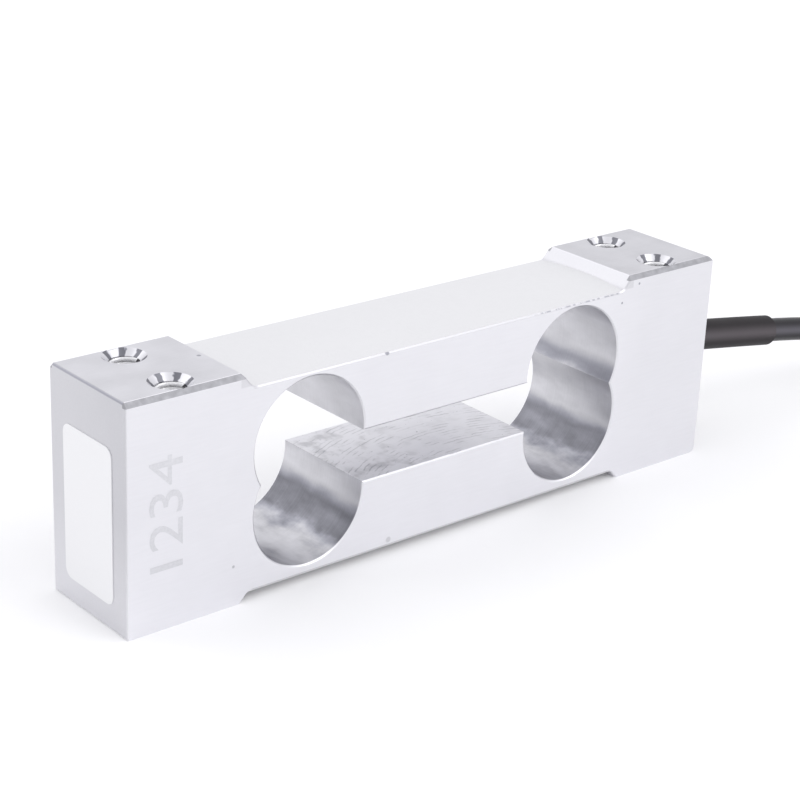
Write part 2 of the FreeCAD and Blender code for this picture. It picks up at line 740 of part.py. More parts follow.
def cable_run():
    """The free stretch of the cable, from inside the entry to the hank."""
    points = CABLE_ROUTE
    shape = tube(points, size("cable_radius"))
    path, radii = rounded_route(points)
    print("cable radii, mm:", [round(r) for r in radii])
    section = math.pi * size("cable_radius") ** 2
    print(f"cable run: {path.Length:.1f} mm, volume over section x length "
          f"{shape.Volume / (section * path.Length):.4f}")
    return node(feature_of("cable_run", shape), "cable_run")


def strain_relief_sleeve():
    """Shrink sleeve over the cable where it leaves the block, bevelled at its free end."""
    outer = tube(CABLE_ROUTE, size("cable_radius") + size("sleeve_wall"))
    reach = SLEEVE_TOOL * size("cable_radius")
    start, end = half_length - size("sleeve_inset"), half_length + size("sleeve_reach")
    before, after = CABLE_ROUTE[2], CABLE_ROUTE[3]
    along = (after - before).normalize()
    centre = before + along * ((end - before.x) / along.x)
    slab = Part.makeBox(end - start + reach, 2 * reach, 3 * reach,
                        V(start, -reach, mid_height - 2 * reach))
    beyond = Part.makeCylinder(reach, SLEEVE_TOOL * reach, centre, along)
    shape = largest_solid(outer.common(slab).cut(beyond))
    rim = [e for e in shape.Edges
           if e.Closed and e.CenterOfMass.distanceToPoint(centre) < RIM_SLACK]
    shape = shape.makeChamfer(size("sleeve_chamfer"), rim)
    shape = shape.cut(tube(CABLE_ROUTE, size("cable_radius")))
    return node(feature_of("strain_relief_sleeve", largest_solid(shape)), "strain_relief_sleeve")


def entry_potting(embedded):
    """The resin plug in the cable entry, round the sleeve, the jacket and the inner cores."""
    at = V(half_length - size("entry_depth"), 0, mid_height)
    shape = Part.makeCylinder(size("entry_radius"), size("entry_depth"), at, V(1, 0, 0))
    for piece in embedded:
        shape = shape.cut(piece.Shape)
    return node(feature_of("entry_potting", largest_solid(shape)), "entry_potting")


def hank_outline(fold_radius, pinch, near_x, far_x, centre_y):
    """A long loop, as a closed wire: two round folds and sides that run smoothly in to a waist."""
    waist_x, half = (near_x + far_x) / 2, (far_x - near_x) / 2
    radii = (half ** 2 + pinch ** 2) / (2 * pinch)  # a fold's radius and a side's, together
    touch = V(half, radii - pinch, 0) * (fold_radius / radii)
    near_low, far_low = (V(near_x + touch.x, centre_y - touch.y, 0),
                         V(far_x - touch.x, centre_y - touch.y, 0))
    near_high, far_high = (V(near_x + touch.x, centre_y + touch.y, 0),
                           V(far_x - touch.x, centre_y + touch.y, 0))
    waist = fold_radius - pinch
    return Part.Wire([
        Part.Arc(near_low, V(waist_x, centre_y - waist, 0), far_low).toShape(),
        Part.Arc(far_low, V(far_x + fold_radius, centre_y, 0), far_high).toShape(),
        Part.Arc(far_high, V(waist_x, centre_y + waist, 0), near_high).toShape(),
        Part.Arc(near_high, V(near_x - fold_radius, centre_y, 0), near_low).toShape(),
    ])


def hank_frame():
    """The hank's driving places: fold centres, waist, inner and outer half width, height."""
    near_x = CABLE_ROUTE[-1].x + size("hank_lead_in")
    far_x = near_x + size("hank_straight")
    thick = 2 * size("cable_radius")
    inner = size("hank_fold_radius") - size("cable_radius")
    outer = inner + size("hank_columns") * thick
    return near_x, far_x, (near_x + far_x) / 2, inner, outer, size("hank_layers") * thick


def hank_middle():
    """The hank's middle line: its outer turn's near side continues the cable's run."""
    _, _, _, _, outer, _ = hank_frame()
    return CABLE_ROUTE[-1].y + outer - size("cable_radius")


def in_hank(x, y, z):
    """A point given from the centre of the hank's near fold."""
    return V(hank_frame()[0] + x, hank_middle() + y, z)


# The free end, by hand: it leaves the lowest inner turn and lies in the hank's hollow.
TAIL_START = in_hank(0.0, -15.0, 3.75)
TAIL_END = in_hank(26.0, -8.8, 3.75)


def tie_band():
    """The strap's loop round the hank's waist, flush with the turns that it presses in."""
    _, _, waist_x, _, outer, height = hank_frame()
    half = outer - size("hank_pinch")
    thick, width = size("tie_thickness"), size("tie_width")
    low = V(waist_x - width / 2, hank_middle() - half, 0)
    loop = Part.makeBox(width, 2 * half, height, low)
    along = [e for e in loop.Edges if near(e.Length, width)]
    loop = loop.makeFillet(size("hank_bevel") + thick, along)
    hole = Part.makeBox(width, 2 * (half - thick), height - 2 * thick, low + V(0, thick, thick))
    along = [e for e in hole.Edges if near(e.Length, width)]
    return loop, hole.makeFillet(size("hank_bevel"), along)


def cable_hank():
    """The put-away length: the outer shape of its tied turns, with the strands in and out."""
    near_x, far_x, _, inner, outer, height = hank_frame()
    centre_y, pinch = hank_middle(), size("hank_pinch")
    outside = Part.Face(hank_outline(outer, pinch, near_x, far_x, centre_y))
    inside = Part.Face(hank_outline(inner, pinch, near_x, far_x, centre_y))
    up = V(0, 0, height)
    solid = outside.extrude(up)
    rims = [e for e in solid.Edges if near(e.CenterOfMass.z, 0) or near(e.CenterOfMass.z, height)]
    solid = solid.makeChamfer(size("hank_bevel"), rims).cut(inside.extrude(up))
    radius = size("cable_radius")
    lead_in_end = CABLE_ROUTE[-1]
    lead_in = Part.makeCylinder(radius, near_x - lead_in_end.x, lead_in_end, V(1, 0, 0))
    tail = TAIL_END - TAIL_START
    tail_stub = Part.makeCylinder(radius, tail.Length, TAIL_START, tail)
    solid = solid.fuse([lead_in, tail_stub])
    loop, hole = tie_band()
    strap = loop.cut(hole)
    solid = largest_solid(solid.cut(strap).removeSplitter())
    return node(feature_of("cable_hank", solid), "cable_hank"), strap


def cable_tie(strap):
    """The tie that holds the hank: band, ratchet head on top and a trimmed tail."""
    _, _, waist_x, _, _, height = hank_frame()
    centre_y = hank_middle()
    length, width = size("tie_head_length"), size("tie_head_width")
    head = Part.makeBox(width, length, size("tie_head_height"),
                        V(waist_x - width / 2, centre_y - length / 2, height))
    head = head.makeChamfer(size("tie_thickness") / 2,
                            [e for e in head.Edges if not near(e.CenterOfMass.z, height)])
    thick = size("tie_thickness")
    tail = Part.makeBox(size("tie_width"), size("tie_tail"), thick,
                        V(waist_x - size("tie_width") / 2, centre_y + length / 2,
                          height + thick))
    shape = strap.fuse([head, tail]).removeSplitter()
    return node(feature_of("cable_tie", largest_solid(shape)), "cable_tie")


# Each core leaves the jacket's cut end in its own quarter, fans out and sinks to the surface.
# The numbers are the end of its insulation, then of its stripped tip, by hand.
CORES = {
    "core_red": (in_hank(45.0, -3.2, 0.65), in_hank(51.0, -1.6, 0.65)),
    "core_black": (in_hank(46.0, 0.8, 0.65), in_hank(52.0, 1.6, 0.65)),
    "core_green": (in_hank(44.0, 4.6, 0.65), in_hank(49.5, 7.0, 0.65)),
    "core_white": (in_hank(40.0, -6.8, 0.65), in_hank(45.0, -7.0, 0.65)),
    "drain_wire": (in_hank(41.0, -3.0, 0.45), in_hank(46.5, -1.1, 0.45)),
}


def quarter_offsets():
    """Where the cores lie in the jacket's cut end: four quarters and the drain in the middle."""
    along = (TAIL_END - TAIL_START).normalize()
    side, up = V(0, 0, 1).cross(along), V(0, 0, 1)
    spread = size("core_radius") * CORE_QUARTER
    quarters = [side * (across * spread) + up * (rise * spread)
                for across, rise in ((-1, 1), (1, 1), (1, -1), (-1, -1))]
    return along, quarters + [V(0, 0, 0)]


def bare_cores():
    """The four insulated cores with stripped tips, and the bare drain wire."""
    along, offsets = quarter_offsets()
    for (name, (insulation_end, tip_end)), offset in zip(CORES.items(), offsets):
        is_drain = name == "drain_wire"
        radius = size("drain_radius") if is_drain else size("core_radius")
        start = TAIL_END + offset
        leaving = start + along * CORE_STRAIGHT
        landing = leaving + (insulation_end - leaving) * CORE_SINK
        landing.z = insulation_end.z
        shape = folded_wire([start, leaving, landing, insulation_end], radius, CORE_SIDES)
        last = insulation_end - landing
        tip = Part.makeCylinder(size("conductor_radius"), (tip_end - insulation_end).Length,
                                insulation_end, last)
        shape = shape.fuse(tip).removeSplitter()
        node(feature_of(name, shape), name)


# -------------------------------------------------------------------------------------------- model
def build():
    """Makes every sub-part in the order that the pieces fit into each other."""
    block = spring_element()
    covered = {}
    for level in ("upper", "lower"):
        covered[level] = [
            strain_gauge(f"gauge_{level}_load_end", level, -1),
            strain_gauge(f"gauge_{level}_fixed_end", level, 1),
            terminal_board(f"terminal_board_{level}", level),
            gauge_jumpers(f"gauge_jumpers_{level}", level),
            trim_resistor(f"trim_resistor_{level}", level, 1 if level == "upper" else -1),
        ]
    supply = supply_leads("supply_leads")
    cross = cross_leads("cross_leads")
    doc.recompute()
    supply_hollow = wiring_cavity("upper", 1, SUPPLY_LEADS)
    cross_hollows = {level: wiring_cavity(level, -1, CROSS_LEADS) for level in covered}
    sealing_coat("sealing_coat_upper", "upper", block, covered["upper"],
                 [supply_hollow, cross_hollows["upper"]])
    sealing_coat("sealing_coat_lower", "lower", block, covered["lower"],
                 [cross_hollows["lower"]])
    end_label()
    run = cable_run()
    sleeve = strain_relief_sleeve()
    entry_potting([run, sleeve, supply, cross])
    _, strap = cable_hank()
    cable_tie(strap)
    bare_cores()
    doc.recompute()


def export():
    """Checks every object and sub-part, then writes one STEP file for each."""
    broken = [o.Name for o in doc.Objects if {"Invalid", "Error"} & set(o.State)]
    if broken:
        raise RuntimeError(f"objects that failed to recompute: {broken}")
    for name, obj in NODES:
        if obj.Shape.isNull() or not obj.Shape.isValid() or not obj.Shape.Solids:
            raise RuntimeError(f"{name} has no valid solid")
    os.makedirs("parts", exist_ok=True)
    for name, obj in NODES:
        obj.Shape.exportStep(f"parts/{name}.step")
        box = obj.Shape.BoundBox
        print(f"{name:26s} solids {len(obj.Shape.Solids):2d}  volume {obj.Shape.Volume:10.2f}  "
              f"x {box.XMin:7.2f}..{box.XMax:7.2f}  y {box.YMin:6.2f}..{box.YMax:6.2f}  "
              f"z {box.ZMin:6.2f}..{box.ZMax:6.2f}")


build()
export()
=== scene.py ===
"""A single point load cell with its cable, dressed over its CAD frame.

The CAD nodes keep their shape and take their finishes here. Fine detail is modelled on
top of them: the screw threads, the engraved figures and the cable with its tied hank.
"""

from __future__ import annotations

import logging
import math
from dataclasses import dataclass, field
from enum import Enum
from typing import Callable, Iterable, Sequence, Union

import bpy
from mathutils import Matrix, Vector

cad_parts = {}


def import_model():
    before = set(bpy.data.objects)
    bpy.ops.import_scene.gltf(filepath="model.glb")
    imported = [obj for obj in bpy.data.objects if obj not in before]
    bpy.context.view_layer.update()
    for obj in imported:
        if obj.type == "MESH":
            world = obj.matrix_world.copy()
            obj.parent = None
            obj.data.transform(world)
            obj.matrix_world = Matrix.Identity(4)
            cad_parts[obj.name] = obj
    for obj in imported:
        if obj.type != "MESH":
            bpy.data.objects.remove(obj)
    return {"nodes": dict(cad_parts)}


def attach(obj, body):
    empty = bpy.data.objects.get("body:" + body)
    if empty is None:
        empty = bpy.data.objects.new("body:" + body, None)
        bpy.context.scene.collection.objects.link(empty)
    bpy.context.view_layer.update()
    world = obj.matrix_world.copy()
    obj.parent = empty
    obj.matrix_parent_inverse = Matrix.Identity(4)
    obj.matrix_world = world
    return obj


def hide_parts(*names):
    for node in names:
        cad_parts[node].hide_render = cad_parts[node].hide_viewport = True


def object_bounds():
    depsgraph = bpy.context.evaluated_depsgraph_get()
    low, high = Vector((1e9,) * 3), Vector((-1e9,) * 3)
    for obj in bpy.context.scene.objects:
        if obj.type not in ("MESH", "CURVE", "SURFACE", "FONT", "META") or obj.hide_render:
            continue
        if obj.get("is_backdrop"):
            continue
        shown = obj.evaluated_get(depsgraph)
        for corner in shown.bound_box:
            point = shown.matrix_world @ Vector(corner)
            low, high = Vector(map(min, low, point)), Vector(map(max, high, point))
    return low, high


LOG = logging.getLogger("load_cell")

MM = 0.001
BODY = "root"

# The block, in millimetres, as its CAD node has it.
BLOCK_HALF_LENGTH = 75.0
BLOCK_HALF_WIDTH = 12.5
BLOCK_HEIGHT = 46.0
MID_HEIGHT = BLOCK_HEIGHT / 2
LOAD_END = -BLOCK_HALF_LENGTH
FRONT = -BLOCK_HALF_WIDTH
BORE_X = 34.3
BORE_RISE = 6.3
BORE_RADIUS = 12.9
SLOT_HALF_HEIGHT = 5.4
SLOT_HALF_LENGTH = 23.5
SLOT_FLOOR = MID_HEIGHT - SLOT_HALF_HEIGHT
BEAM_TOP_EDGE = 42.95
BEAM_LOW_EDGE = 2.1
BEAM_END = 47.5
STEP_FOOT = 43.3
STEP_END = 50.3
SCREW_X = 62.3
SCREW_Y = 7.5
CONE_RADIUS = 4.23
CONE_FOOT = 21.4

Colour = tuple[float, float, float]
Number = Union[float, "Sock"]


# ---------------------------------------------------------------- shader arithmetic


class Sock:
    """A shader value that takes part in arithmetic as a number does."""

    def __init__(self, graph: "Graph", socket: bpy.types.NodeSocket) -> None:
        """Wraps a socket.

        Args:
            graph: The node tree that the socket belongs to.
            socket: The output socket that carries the value.
        """
        self.graph = graph
        self.socket = socket

    def _with(self, operation: str, *others: Number) -> "Sock":
        """One arithmetic node that starts from this value."""
        return self.graph.math(operation, self, *others)

    def __add__(self, other: Number) -> "Sock":
        """This value plus another."""
        return self._with("ADD", other)

    def __sub__(self, other: Number) -> "Sock":
        """This value less another."""
        return self._with("SUBTRACT", other)

    def __mul__(self, other: Number) -> "Sock":
        """This value times another."""
        return self._with("MULTIPLY", other)

    def __pow__(self, other: Number) -> "Sock":
        """This value to a power."""
        return self._with("POWER", other)

    def __abs__(self) -> "Sock":
        """This value without its sign."""
        return self._with("ABSOLUTE")

    def __radd__(self, other: float) -> "Sock":
        """A number plus this value."""
        return self + other

    def __rmul__(self, other: float) -> "Sock":
        """A number times this value."""
        return self * other

    def __rsub__(self, other: float) -> "Sock":
        """A number less this value."""
        return self.graph.math("SUBTRACT", other, self)

    def rises(self, low: float, high: float) -> "Sock":
        """A smooth step.

        Args:
            low: Where the step is still 0.
            high: Where the step has reached 1.

        Returns:
            The step's value, from 0 to 1.
        """
        ends = {"Value": self, "From Min": low, "From Max": high}
        settings = {"interpolation_type": "SMOOTHSTEP"}
        return Sock(self.graph, self.graph.node("ShaderNodeMapRange", settings, ends).outputs[0])

    def falls(self, low: float, high: float) -> "Sock":
        """A smooth step down.

        Args:
            low: Where the step is still 1.
            high: Where the step has reached 0.

        Returns:
            The step's value, from 1 to 0.
        """
        return 1.0 - self.rises(low, high)

    def near(self, centre: float, core: float, fade: float) -> "Sock":
        """A smooth bump around one value.

        Args:
            centre: The value that it stands on.
            core: How far from the centre it is still 1.
            fade: How far from the centre it has reached 0.

        Returns:
            The bump's value, from 0 to 1.
        """
        return abs(self - centre).falls(core, fade)


class Graph:
    """A material's node tree, written as arithmetic on places in millimetres."""

    def __init__(self, material: bpy.types.Material) -> None:
        """Starts an empty tree.

        Args:
            material: The material whose tree is written.
        """
        material.use_nodes = True
        self.tree = material.node_tree
        self.tree.nodes.clear()
        coordinates = self.node("ShaderNodeTexCoord").outputs["Object"]
        scaled = self.node(
            "ShaderNodeVectorMath",
            {"operation": "SCALE"},
            {"Vector": Sock(self, coordinates), "Scale": 1.0 / MM},
        )
        self.place = Sock(self, scaled.outputs["Vector"])
        self.x, self.y, self.z = self.parts(self.place)

    def node(
        self, kind: str, settings: dict | None = None, inputs: dict | None = None
    ) -> bpy.types.Node:
        """Adds a node: its settings first, then its values and links.

        Args:
            kind: The node's type name.
            settings: Properties of the node.
            inputs: Values or sockets, by the input's identifier or name.

        Returns:
            The node.
        """
        made = self.tree.nodes.new(kind)
        for name, value in (settings or {}).items():
            setattr(made, name, value)
        for name, value in (inputs or {}).items():
            self.feed(made, name, value)
        return made

    def feed(self, made: bpy.types.Node, name: str, value: object) -> None:
        """Sets or links one input.

        Args:
            made: The node.
            name: The input's identifier or name.
            value: A plain value, or a Sock to link from.
        """
        found = [s for s in made.inputs if s.identifier == name]
        target = found[0] if found else made.inputs[name]
        if isinstance(value, Sock):
            self.tree.links.new(value.socket, target)
        else:
            target.default_value = value

    def math(self, operation: str, *operands: Number) -> Sock:
        """One arithmetic node.

        Args:
            operation: The Math node's operation.
            operands: Numbers or values, in order.

        Returns:
            The result.
        """
        names = ("Value", "Value_001", "Value_002")
        made = self.node("ShaderNodeMath", {"operation": operation}, dict(zip(names, operands)))
        return Sock(self, made.outputs[0])

    def parts(self, vector: Sock) -> tuple[Sock, Sock, Sock]:
        """A vector's three parts.

        Args:
            vector: The vector.

        Returns:
            Its x, y and z.
        """
        made = self.node("ShaderNodeSeparateXYZ", None, {"Vector": vector})
        return tuple(Sock(self, s) for s in made.outputs)

    def upward(self) -> Sock:
        """How far the surface faces up.

        Returns:
            1 on top, 0 on an upright side and -1 underneath.
        """
        normal = self.node("ShaderNodeTexCoord").outputs["Normal"]
        return self.parts(Sock(self, normal))[2]

    def vector(self, x: Number, y: Number, z: Number) -> Sock:
        """A vector from three parts.

        Args:
            x: The first part.
            y: The second part.
            z: The third part.

        Returns:
            The vector.
        """
        made = self.node("ShaderNodeCombineXYZ", None, {"X": x, "Y": y, "Z": z})
        return Sock(self, made.outputs[0])

    def noise(self, size: float, at: Sock | None = None, detail: float = 3.0) -> Sock:
        """Soft noise around 0.

        Args:
            size: The width of a patch, in millimetres.
            at: The place to look it up, or None for the surface's own place.
            detail: How much finer detail it carries.

        Returns:
            A value from about -0.5 to 0.5.
        """
        inputs = {"Vector": at or self.place, "Scale": 1.0 / size, "Detail": detail}
        return Sock(self, self.node("ShaderNodeTexNoise", None, inputs).outputs[0]) - 0.5

    def rings(self, centre: Sequence[float], spacing: float, waver: float) -> Sock:
        """Fine arcs on a level surface, as a turning cutter leaves them.

        Args:
            centre: The middle of the arcs, in millimetres.
            spacing: The distance from arc to arc.
            waver: How unevenly they run.

        Returns:
            A value from 0 to 1.
        """
        at = self.vector(self.x - centre[0], self.y - centre[1], self.z - centre[2])
        settings = {"wave_type": "RINGS", "rings_direction": "Z"}
        inputs = {"Vector": at, "Scale": 0.3 / spacing, "Distortion": waver, "Detail Scale": 2.0}
        return Sock(self, self.node("ShaderNodeTexWave", settings, inputs).outputs["Fac"])

    def spot(self, centre: Sequence[float], radius: float) -> Sock:
        """A small round mark.

        Args:
            centre: Its middle, in millimetres.
            radius: Its radius, in millimetres.

        Returns:
            1 in the mark and 0 outside it.
        """
        inputs = {"Vector": self.place, "Vector_001": tuple(centre)}
        made = self.node("ShaderNodeVectorMath", {"operation": "DISTANCE"}, inputs)
        return Sock(self, made.outputs["Value"]).falls(radius * 0.5, radius)

    def mix(self, factor: Number, first: Colour | Sock, second: Colour | Sock) -> Sock:
        """Two colours mixed.

        Args:
            factor: 0 for the first colour, 1 for the second.
            first: The first colour.
            second: The second colour.

        Returns:
            The mixed colour.
        """
        inputs = {
            "Factor_Float": factor,
            "A_Color": first if isinstance(first, Sock) else (*first, 1.0),
            "B_Color": second if isinstance(second, Sock) else (*second, 1.0),
        }
        made = self.node("ShaderNodeMix", {"data_type": "RGBA"}, inputs)
        return Sock(self, made.outputs[2])

    def tinted(self, colour: Colour | Sock, amount: Sock) -> Sock:
        """A colour made lighter or darker.

        Args:
            colour: The colour.
            amount: What each channel is multiplied by.

        Returns:
            The new colour.
        """
        value = colour if isinstance(colour, Sock) else tuple(colour)
        inputs = {"Vector": value, "Scale": amount}
        made = self.node("ShaderNodeVectorMath", {"operation": "SCALE"}, inputs)
        return Sock(self, made.outputs["Vector"])

    def bump(self, height: Sock, strength: float) -> Sock:
        """A bumped normal.

        Args:
            height: The relief's height, in millimetres.
            strength: How strongly it shows, from 0 to 1.

        Returns:
            The normal.
        """
        inputs = {"Height": height, "Strength": strength, "Distance": MM}
        return Sock(self, self.node("ShaderNodeBump", None, inputs).outputs[0])

    def surface(self, constants: dict, varying: dict) -> None:
        """The shader and the output.

        Args:
            constants: Plain values for the shader's own sockets.
            varying: Sockets for the inputs that change over the surface.
        """
        shader = self.node("ShaderNodeBsdfPrincipled", None, {**constants, **varying})
        output = self.node("ShaderNodeOutputMaterial")
        self.tree.links.new(shader.outputs[0], output.inputs["Surface"])


# ---------------------------------------------------------------- finishes


@dataclass(frozen=True)
class Finish:
    """A plain finish with a little grain, for plastics, films and resins.

    Attributes:
        slot: The name of the material slot that it fills.
        colour: Its base colour.
        roughness: How matt it is, from 0 to 1.
        metallic: 1 for bare metal and 0 for anything else.
        mottle: How much its colour varies.
        grain: The width of its grain, in millimetres.
        relief: The height of its grain, in millimetres.
        shine: The strength of its reflections, with 0.5 as the usual value.
    """

    slot: str
    colour: Colour
    roughness: float
    metallic: float = 0.0
    mottle: float = 0.04
    grain: float = 0.5
    relief: float = 0.02
    shine: float = 0.5

    def constants(self) -> dict:
        """The shader's plain values.

        Returns:
            The values, by the shader's input names.
        """
        return {"Metallic": self.metallic, "Specular IOR Level": self.shine}

    def varying(self, graph: Graph) -> dict:
        """The shader's changing values.

        Args:
            graph: The tree to write them in.

        Returns:
            The sockets, by the shader's input names.
        """
        patch = graph.noise(self.grain * 12.0)
        grain = graph.noise(self.grain, detail=2.0)
        return {
            "Base Color": graph.tinted(self.colour, 1.0 + (patch + grain) * self.mottle),
            "Roughness": self.roughness + patch * 0.1,
            "Normal": graph.bump(grain * self.relief, 1.0),
        }

    def material(self) -> bpy.types.Material:
        """Writes the finish as a material.

        Returns:
            The material.
        """
        made = bpy.data.materials.new(self.slot)
        graph = Graph(made)
        graph.surface(self.constants(), self.varying(graph))
        return made


@dataclass(frozen=True)
class Mark:
    """A nick, speck or smudge in the metal.

    Attributes:
        centre: Its middle, in millimetres.
        radius: Its radius, in millimetres.
        depth: How much darker it is than the metal around it.
    """

    centre: tuple[float, float, float]
    radius: float
    depth: float


MARKS = (
    Mark((-51.1, -0.1, 46.0), 0.55, 0.45),
    Mark((-16.4, -12.5, 43.1), 0.7, 0.5),
    Mark((-14.3, -12.5, 3.2), 0.8, 0.22),
    Mark((-51.8, -12.5, 8.2), 0.4, 0.35),
    Mark((47.4, -12.5, 40.6), 0.35, 0.5),
    Mark((52.2, -12.5, 44.0), 0.35, 0.5),
)


@dataclass(frozen=True)
class ReflectionBand:
    """A painted reflection: a darker band that lies along a bore's wall at one height.

    Attributes:
        height: The height of its middle, in millimetres.
        core: How far from the middle it keeps its full depth.
        fade: How far from the middle it ends.
        depth: How much darker it is than the metal around it.
    """

    height: float
    core: float
    fade: float
    depth: float

    def shade(self, z: Sock) -> Sock:
        """How much darker the wall is at each height."""
        return z.near(self.height, self.core, self.fade) * self.depth


# Painted reflections: darker bands along the bores' walls, below and above the middle height.
LOWER_REFLECTION_BAND = ReflectionBand(8.6, 1.5, 5.0, 0.57)
LOWER_FAINT_REFLECTION = ReflectionBand(19.5, 1.0, 3.5, 0.08)
UPPER_REFLECTION_BAND = ReflectionBand(24.3, 0.4, 3.4, 0.36)


@dataclass(frozen=True)
class MachinedAluminium(Finish):
    """Milled aluminium: satin outside and scratched in the slot, with painted reflections in the
    bores and on the countersinks, and painted shade and highlights on its faces and edges.

    Attributes:
        strip: The colour of the lands' narrow side edges.
        shade: What the metal's colour is multiplied by where it lies dark, painted shade and
            reflections included.
        land_dark: How much painted shade darkens the lands.
        end_dark: How much painted shade darkens the load end's face.
        wall_dark: How much painted shade darkens the bores' walls between their bands.
        cone_dark: How dark the painted reflection bars on the countersinks are.
        crest_dark: How dark the painted shade on the beam's upper front edge is.
        low_dark: How dark the painted shade on the beam's lower front edge is.
        sill_dark: How dark the painted shade on the slot's front edge is.
        dash_shadow_dark: How dark the painted shadow dashes along the beam's upper edge are.
        slope_dark: How dark the painted shade on the steps up to the lands is.
        corner_dark: How dark the painted shade on the load end's upper edge is.
    """

    strip: Colour = (0.38, 0.38, 0.40)
    shade: Colour = (0.96, 0.97, 1.04)
    land_dark: float = 0.05
    end_dark: float = 0.17
    wall_dark: float = 0.15
    cone_dark: float = 0.72
    crest_dark: float = 0.14
    low_dark: float = 0.35
    sill_dark: float = 0.16
    dash_shadow_dark: float = 0.4
    slope_dark: float = 0.12
    corner_dark: float = 0.5

    def bores(self, graph: Graph) -> Sock:
        """Where the surface is a bore's wall.

        Args:
            graph: The tree to write it in.

        Returns:
            1 on the walls and 0 elsewhere.
        """
        across = abs(graph.x) - BORE_X
        up = abs(graph.z - MID_HEIGHT) - BORE_RISE
        reach = (across * across + up * up) ** 0.5
        return reach.falls(BORE_RADIUS + 0.02, BORE_RADIUS + 0.09)

    def slot_faces(self, graph: Graph) -> Sock:
        """Where the surface is the slot's.

        Args:
            graph: The tree to write it in.

        Returns:
            1 in the slot and 0 elsewhere.
        """
        beside = abs(graph.z - MID_HEIGHT)
        level = beside.falls(SLOT_HALF_HEIGHT + 0.03, SLOT_HALF_HEIGHT + 0.12)
        return level * abs(graph.x).falls(SLOT_HALF_LENGTH - 0.1, SLOT_HALF_LENGTH + 0.1)

    def bands(self, graph: Graph) -> Sock:
        """Painted reflections and shade: the dark and light bands that lie along a bore's wall.

        Args:
            graph: The tree to write them in.

        Returns:
            How much darker the wall is, from 0 to 1.
        """
        # Clouds through the painted reflections, and a waver in their heights.
        cloud = graph.noise(3.6, graph.vector(graph.x, graph.y * 0.5, graph.z), 6.0)
        z = graph.z + cloud * 4.0
        low = LOWER_REFLECTION_BAND.shade(z) + LOWER_FAINT_REFLECTION.shade(z)
        # The top of the upper half is painted a little lighter.
        high = UPPER_REFLECTION_BAND.shade(z) - z.rises(29.0, 34.0) * 0.06
        upper = graph.z.rises(MID_HEIGHT - 0.1, MID_HEIGHT + 0.1)
        # Painted shade darkens the whole wall, and the painted reflections lie over it.
        return self.wall_dark + low * (1.0 - upper) + high * upper + cloud * 0.35

    def cones(self, graph: Graph) -> Sock:
        """Painted reflections: the dark radial bars on the polished countersinks.

        Args:
            graph: The tree to write them in.

        Returns:
            How much darker the cone is, from 0 to 1.
        """
        across, along = abs(graph.x) - SCREW_X, abs(graph.y) - SCREW_Y
        reach = (across * across + along * along) ** 0.5
        turn = graph.math("ARCTAN2", along, across)
        waver = graph.noise(0.9, graph.vector(graph.x, graph.y, 0.0), 1.0)
        bars = graph.math("SINE", turn * 7.0 + waver * 2.0).rises(0.1, 0.6)
        cone = reach.falls(CONE_RADIUS - 0.03, CONE_RADIUS + 0.03)
        cone = cone * abs(graph.z - MID_HEIGHT).rises(CONE_FOOT, CONE_FOOT + 0.3)
        return bars * cone * self.cone_dark

    def face_tone(self, graph: Graph) -> Sock:
        """How light the outer faces are: brushed and cloudy, with painted light on the front and
        the lower faces, and painted shade on the lands and the load end's face.

        Args:
            graph: The tree to write it in.

        Returns:
            A factor for the finish's colour.
        """
        brushed = graph.noise(0.5, graph.vector(graph.x * 0.08, graph.y, graph.z), 2.0)
        patches = graph.noise(9.0, detail=4.0)
        # Painted highlight: the front face is lighter, except at its right end.
        front_highlight = graph.y.falls(FRONT + 0.02, FRONT + 0.2) * graph.x.falls(40.0, 60.0) * 0.05
        # Besides the brushing and clouds, the faces are painted lighter towards the bottom.
        tone = 1.0 + brushed * 0.05 + patches * 0.05 + front_highlight + graph.z.falls(0.0, 30.0) * 0.09
        # Painted shade: the lands are darker, more so towards the right, under random clouds.
        land = graph.z.rises(BLOCK_HEIGHT - 0.1, BLOCK_HEIGHT - 0.02)
        clouds_and_shade = graph.x.rises(0.0, 60.0) * 0.07 + patches * 0.34
        tone = tone * (1.0 - land * (self.land_dark + clouds_and_shade))
        # Painted shade: the load end's face is darker, more so towards the front and less so
        # towards the bottom.
        end = graph.x.falls(LOAD_END + 0.05, LOAD_END + 0.4)
        shaded = graph.y.falls(FRONT, 6.0) * 0.05 - graph.z.falls(0.0, 25.0) * 0.1
        return tone * (1.0 - end * (self.end_dark + shaded))

    def wall_tone(self, graph: Graph) -> Sock:
        """How light the bores' walls are: the boring tool's marks, with painted reflection bands
        over painted shade.

        Args:
            graph: The tree to write it in.

        Returns:
            A factor for the finish's colour.
        """
        tool = graph.noise(0.22, graph.vector(graph.x * 0.02, graph.y, graph.z * 0.02), 1.0)
        return 1.0 - self.bores(graph) * (self.bands(graph) + tool * 0.08)

    def slot_tone(self, graph: Graph) -> Sock:
        """How light the slot is, with the cutter's arcs, smears and specks.

        Args:
            graph: The tree to write it in.

        Returns:
            A factor for the finish's colour.
        """
        scratched = graph.x.falls(-14.0, 4.0) * 0.22 + 0.08
        strokes = graph.noise(3.0, graph.vector(graph.x * 0.5, graph.y, 0.0), 3.0)
        arcs = graph.rings((5.0, -45.0, SLOT_FLOOR), 1.1, 2.0) ** 7.0 * strokes.rises(-0.02, 0.1)
        clouds = graph.noise(3.4, detail=6.0).rises(-0.05, 0.22)
        specks = graph.noise(0.7, detail=2.0).rises(0.2, 0.26)
        here = self.slot_faces(graph)
        smears = arcs * 0.3 + clouds * scratched - 0.05
        return (1.0 - here * smears) * (1.0 - here * specks * 0.4)

